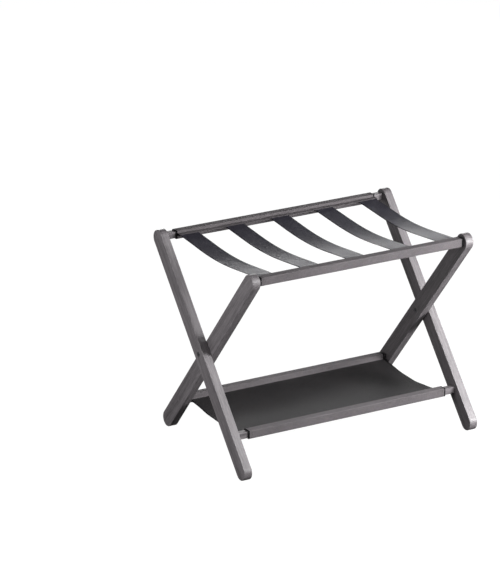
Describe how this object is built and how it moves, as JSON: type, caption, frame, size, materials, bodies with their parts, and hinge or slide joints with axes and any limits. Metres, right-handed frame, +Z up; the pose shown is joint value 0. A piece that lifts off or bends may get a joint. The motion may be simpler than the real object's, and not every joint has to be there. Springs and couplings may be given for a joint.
{
  "type": "folding luggage rack",
  "caption": "Folding wooden luggage rack: two crossed frames on pivot bolts, webbing straps over the top rails and a cloth shelf between the low rails.",
  "frame": {"origin": "on the floor under the middle of the open rack, at the bottom centre of its bounding box", "axes": "+X along the rails, +Y from the front to the rear, +Z up"},
  "size_m": [0.65, 0.4282, 0.5027],
  "materials": {
    "painted_wood": "charcoal grey paint, satin, with the grain showing faintly",
    "dowel_wood": "beech, glued in, with its outer ends painted over like the legs",
    "pivot_steel": "black oxide",
    "washer_nylon": "black nylon",
    "sleeve_cloth": "grey oxford cloth, sewn",
    "shelf_cloth": "charcoal oxford cloth",
    "strap_webbing": "grey nylon webbing, slight sheen"
  },
  "bodies": {
    "outer_frame": {"outer_leg_left": "painted_wood", "outer_leg_right": "painted_wood", "top_rail_rear": "painted_wood", "bottom_rail_front": "painted_wood", "outer_frame_dowels": "dowel_wood", "pivot_bolt_left": "pivot_steel", "pivot_bolt_right": "pivot_steel", "pivot_barrel_left": "pivot_steel", "pivot_barrel_right": "pivot_steel", "pivot_washer_left": "washer_nylon", "pivot_washer_right": "washer_nylon", "top_sleeve_rear": "sleeve_cloth", "shelf_sleeve_front": "shelf_cloth", "shelf_sheet": "shelf_cloth", "strap_1": "strap_webbing", "strap_2": "strap_webbing", "strap_3": "strap_webbing", "strap_4": "strap_webbing", "strap_5": "strap_webbing"},
    "inner_frame": {"inner_leg_left": "painted_wood", "inner_leg_right": "painted_wood", "top_rail_front": "painted_wood", "bottom_rail_rear": "painted_wood", "inner_frame_dowels": "dowel_wood", "top_sleeve_front": "sleeve_cloth", "shelf_sleeve_rear": "shelf_cloth"}
  },
  "joints": [
    {"name": "fold", "type": "hinge", "parent": "outer_frame", "child": "inner_frame", "pos_m": [0, 0, 0.25134], "axis": [-1, 0, 0], "range_deg": [0, 71], "deforming": ["strap_1", "strap_2", "strap_3", "strap_4", "strap_5", "shelf_sheet"]}
  ]
}
